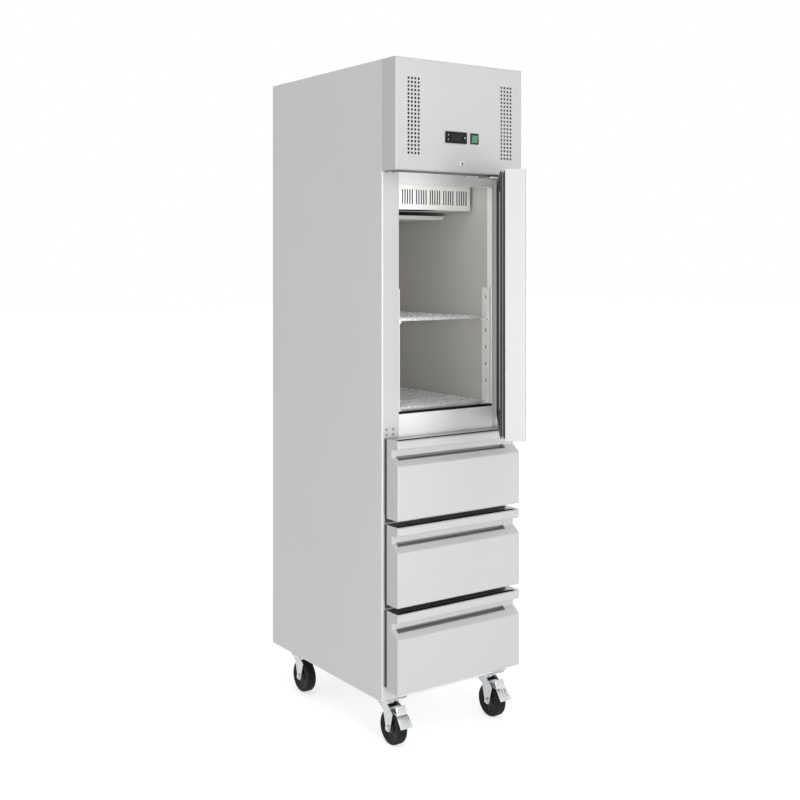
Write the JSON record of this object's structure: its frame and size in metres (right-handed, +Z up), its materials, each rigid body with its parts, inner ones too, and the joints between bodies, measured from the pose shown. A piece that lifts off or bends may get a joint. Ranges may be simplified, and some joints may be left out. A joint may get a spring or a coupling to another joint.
{
  "type": "commercial refrigerator cabinet",
  "caption": "Slim upright commercial refrigerator in stainless steel: hinged upper door over pull-out pan drawers, control fascia on top, swivel castors below.",
  "frame": {"origin": "on the floor, midway across the width and midway between the free corner of the open door in front and the mains inlet behind", "axes": "+Z up, front faces -Y, +X towards the hinge side of the door"},
  "size_m": [0.472, 1.0638, 1.995],
  "materials": {
    "side_panels": "satin stainless steel",
    "back_panel": "galvanised sheet",
    "top_cover": "galvanised sheet",
    "base_panel": "galvanised sheet",
    "machine_deck": "galvanised sheet",
    "front_rails": "satin stainless steel",
    "liner_panels": "satin stainless steel",
    "insulation": "rigid foam",
    "breaker_strips": "white plastic",
    "fascia_panel": "satin stainless steel",
    "controller_case": "black plastic",
    "switch_case": "black plastic",
    "lock_barrel": "plated",
    "compressor": "black paint",
    "condenser": "plain fins",
    "fan_motors": "black paint",
    "evaporator_cover": "white coating",
    "evaporator_coil": "plain fins",
    "drip_tray": "white plastic",
    "shelf_supports": "satin stainless steel",
    "hinge_brackets": "satin stainless steel",
    "fasteners": "plain steel",
    "slide_outers": "plain steel",
    "castor_plates": "zinc plated",
    "mains_inlet": "black plastic",
    "door_skin": "satin stainless steel",
    "door_foam": "rigid foam",
    "door_inner_panel": "satin stainless steel",
    "door_gasket": "dark grey rubber",
    "drawer_front_1": "satin stainless steel",
    "drawer_gasket_1": "dark grey rubber",
    "drawer_frame_1": "stainless steel",
    "slide_middle_1": "plain steel",
    "drawer_front_2": "satin stainless steel",
    "drawer_gasket_2": "dark grey rubber",
    "drawer_frame_2": "stainless steel",
    "slide_middle_2": "plain steel",
    "drawer_front_3": "satin stainless steel",
    "drawer_gasket_3": "dark grey rubber",
    "drawer_frame_3": "stainless steel",
    "slide_middle_3": "plain steel",
    "castor_fork_front_left": "zinc plated",
    "castor_wheel_front_left": "black plastic",
    "brake_pedal_front_left": "zinc plated",
    "castor_fork_front_right": "zinc plated",
    "castor_wheel_front_right": "black plastic",
    "brake_pedal_front_right": "zinc plated",
    "castor_fork_rear_left": "zinc plated",
    "castor_wheel_rear_left": "black plastic",
    "castor_fork_rear_right": "zinc plated",
    "castor_wheel_rear_right": "black plastic",
    "rocker": "green translucent plastic",
    "lock_plug": "plated",
    "key_up": "black plastic",
    "key_down": "black plastic",
    "key_set": "black plastic",
    "condenser_fan_blade": "black plastic",
    "evaporator_fan_blade": "black plastic",
    "wire_shelf_lower": "white coated wire",
    "wire_shelf_upper": "white coated wire"
  },
  "bodies": {
    "cabinet": {"side_panels": "side_panels", "back_panel": "back_panel", "top_cover": "top_cover", "base_panel": "base_panel", "machine_deck": "machine_deck", "front_rails": "front_rails", "liner_panels": "liner_panels", "insulation": "insulation", "breaker_strips": "breaker_strips", "fascia_panel": "fascia_panel", "controller_case": "controller_case", "switch_case": "switch_case", "lock_barrel": "lock_barrel", "compressor": "compressor", "condenser": "condenser", "fan_motors": "fan_motors", "evaporator_cover": "evaporator_cover", "evaporator_coil": "evaporator_coil", "drip_tray": "drip_tray", "shelf_supports": "shelf_supports", "hinge_brackets": "hinge_brackets", "fasteners": "fasteners", "slide_outers": "slide_outers", "castor_plates": "castor_plates", "mains_inlet": "mains_inlet"},
    "door": {"door_skin": "door_skin", "door_foam": "door_foam", "door_inner_panel": "door_inner_panel", "door_gasket": "door_gasket"},
    "drawer_1": {"drawer_front_1": "drawer_front_1", "drawer_gasket_1": "drawer_gasket_1", "drawer_frame_1": "drawer_frame_1"},
    "slide_middle_1": {"slide_middle_1": "slide_middle_1"},
    "drawer_2": {"drawer_front_2": "drawer_front_2", "drawer_gasket_2": "drawer_gasket_2", "drawer_frame_2": "drawer_frame_2"},
    "slide_middle_2": {"slide_middle_2": "slide_middle_2"},
    "drawer_3": {"drawer_front_3": "drawer_front_3", "drawer_gasket_3": "drawer_gasket_3", "drawer_frame_3": "drawer_frame_3"},
    "slide_middle_3": {"slide_middle_3": "slide_middle_3"},
    "fork_front_left": {"castor_fork_front_left": "castor_fork_front_left"},
    "wheel_front_left": {"castor_wheel_front_left": "castor_wheel_front_left"},
    "pedal_front_left": {"brake_pedal_front_left": "brake_pedal_front_left"},
    "fork_front_right": {"castor_fork_front_right": "castor_fork_front_right"},
    "wheel_front_right": {"castor_wheel_front_right": "castor_wheel_front_right"},
    "pedal_front_right": {"brake_pedal_front_right": "brake_pedal_front_right"},
    "fork_rear_left": {"castor_fork_rear_left": "castor_fork_rear_left"},
    "wheel_rear_left": {"castor_wheel_rear_left": "castor_wheel_rear_left"},
    "fork_rear_right": {"castor_fork_rear_right": "castor_fork_rear_right"},
    "wheel_rear_right": {"castor_wheel_rear_right": "castor_wheel_rear_right"},
    "rocker": {"rocker": "rocker"},
    "lock_plug": {"lock_plug": "lock_plug"},
    "key_up": {"key_up": "key_up"},
    "key_down": {"key_down": "key_down"},
    "key_set": {"key_set": "key_set"},
    "condenser_fan": {"condenser_fan_blade": "condenser_fan_blade"},
    "evaporator_fan": {"evaporator_fan_blade": "evaporator_fan_blade"},
    "shelf_lower": {"wire_shelf_lower": "wire_shelf_lower"},
    "shelf_upper": {"wire_shelf_upper": "wire_shelf_upper"}
  },
  "joints": [
    {"name": "door_hinge", "type": "hinge", "parent": "cabinet", "child": "door", "pos_m": [0.219, -0.17513, 1.2925], "axis": [0, 0, 1], "range_deg": [-51.5, 58.5]},
    {"name": "drawer_1_slide", "type": "slide", "parent": "cabinet", "child": "drawer_1", "axis": [0, -1, 0], "range_m": [0, 0.5]},
    {"name": "slide_middle_1_slide", "type": "slide", "parent": "cabinet", "child": "slide_middle_1", "axis": [0, -1, 0], "range_m": [0, 0.25]},
    {"name": "drawer_2_slide", "type": "slide", "parent": "cabinet", "child": "drawer_2", "axis": [0, -1, 0], "range_m": [0, 0.5]},
    {"name": "slide_middle_2_slide", "type": "slide", "parent": "cabinet", "child": "slide_middle_2", "axis": [0, -1, 0], "range_m": [0, 0.25]},
    {"name": "drawer_3_slide", "type": "slide", "parent": "cabinet", "child": "drawer_3", "axis": [0, -1, 0], "range_m": [0, 0.5]},
    {"name": "slide_middle_3_slide", "type": "slide", "parent": "cabinet", "child": "slide_middle_3", "axis": [0, -1, 0], "range_m": [0, 0.25]},
    {"name": "swivel_front_left", "type": "hinge", "parent": "cabinet", "child": "fork_front_left", "pos_m": [-0.186, -0.07413, 0.118], "axis": [0, 0, 1], "continuous": true},
    {"name": "roll_front_left", "type": "hinge", "parent": "fork_front_left", "child": "wheel_front_left", "pos_m": [-0.186, -0.10813, 0.05], "axis": [1, 0, 0], "continuous": true},
    {"name": "brake_front_left", "type": "hinge", "parent": "fork_front_left", "child": "pedal_front_left", "pos_m": [-0.186, -0.11013, 0.106], "axis": [1, 0, 0], "range_deg": [0, 6.2]},
    {"name": "swivel_front_right", "type": "hinge", "parent": "cabinet", "child": "fork_front_right", "pos_m": [0.186, -0.07413, 0.118], "axis": [0, 0, 1], "continuous": true},
    {"name": "roll_front_right", "type": "hinge", "parent": "fork_front_right", "child": "wheel_front_right", "pos_m": [0.186, -0.10813, 0.05], "axis": [1, 0, 0], "continuous": true},
    {"name": "brake_front_right", "type": "hinge", "parent": "fork_front_right", "child": "pedal_front_right", "pos_m": [0.186, -0.11013, 0.106], "axis": [1, 0, 0], "range_deg": [0, 6.2]},
    {"name": "swivel_rear_left", "type": "hinge", "parent": "cabinet", "child": "fork_rear_left", "pos_m": [-0.186, 0.43987, 0.118], "axis": [0, 0, 1], "continuous": true},
    {"name": "roll_rear_left", "type": "hinge", "parent": "fork_rear_left", "child": "wheel_rear_left", "pos_m": [-0.186, 0.40587, 0.05], "axis": [1, 0, 0], "continuous": true},
    {"name": "swivel_rear_right", "type": "hinge", "parent": "cabinet", "child": "fork_rear_right", "pos_m": [0.186, 0.43987, 0.118], "axis": [0, 0, 1], "continuous": true},
    {"name": "roll_rear_right", "type": "hinge", "parent": "fork_rear_right", "child": "wheel_rear_right", "pos_m": [0.186, 0.40587, 0.05], "axis": [1, 0, 0], "continuous": true},
    {"name": "rocker_tip", "type": "hinge", "parent": "cabinet", "child": "rocker", "pos_m": [0.049, -0.18613, 1.7745], "axis": [1, 0, 0], "range_deg": [-15, 0]},
    {"name": "lock_turn", "type": "hinge", "parent": "cabinet", "child": "lock_plug", "pos_m": [0.003, -0.19013, 1.698], "axis": [0, 1, 0], "range_deg": [0, 48]},
    {"name": "key_up_press", "type": "slide", "parent": "cabinet", "child": "key_up", "axis": [0, 1, 0], "range_m": [0, 0.0008], "stiffness_N_per_m": 500},
    {"name": "key_down_press", "type": "slide", "parent": "cabinet", "child": "key_down", "axis": [0, 1, 0], "range_m": [0, 0.0008], "stiffness_N_per_m": 500},
    {"name": "key_set_press", "type": "slide", "parent": "cabinet", "child": "key_set", "axis": [0, 1, 0], "range_m": [0, 0.0008], "stiffness_N_per_m": 500},
    {"name": "condenser_fan_spin", "type": "hinge", "parent": "cabinet", "child": "condenser_fan", "pos_m": [0, -0.04713, 1.821], "axis": [0, 1, 0], "continuous": true},
    {"name": "evaporator_fan_spin", "type": "hinge", "parent": "cabinet", "child": "evaporator_fan", "pos_m": [0, 0.05187, 1.579], "axis": [0, 0, 1], "continuous": true},
    {"name": "shelf_lower_lift", "type": "slide", "parent": "cabinet", "child": "shelf_lower", "axis": [0, 0, 1], "range_m": [0, 0.03]},
    {"name": "shelf_upper_lift", "type": "slide", "parent": "cabinet", "child": "shelf_upper", "axis": [0, 0, 1], "range_m": [0, 0.03]}
  ],
  "couplings": [
    {"joint": "slide_middle_1_slide", "follows": "drawer_1_slide", "ratio": 0.5},
    {"joint": "slide_middle_2_slide", "follows": "drawer_2_slide", "ratio": 0.5},
    {"joint": "slide_middle_3_slide", "follows": "drawer_3_slide", "ratio": 0.5}
  ]
}
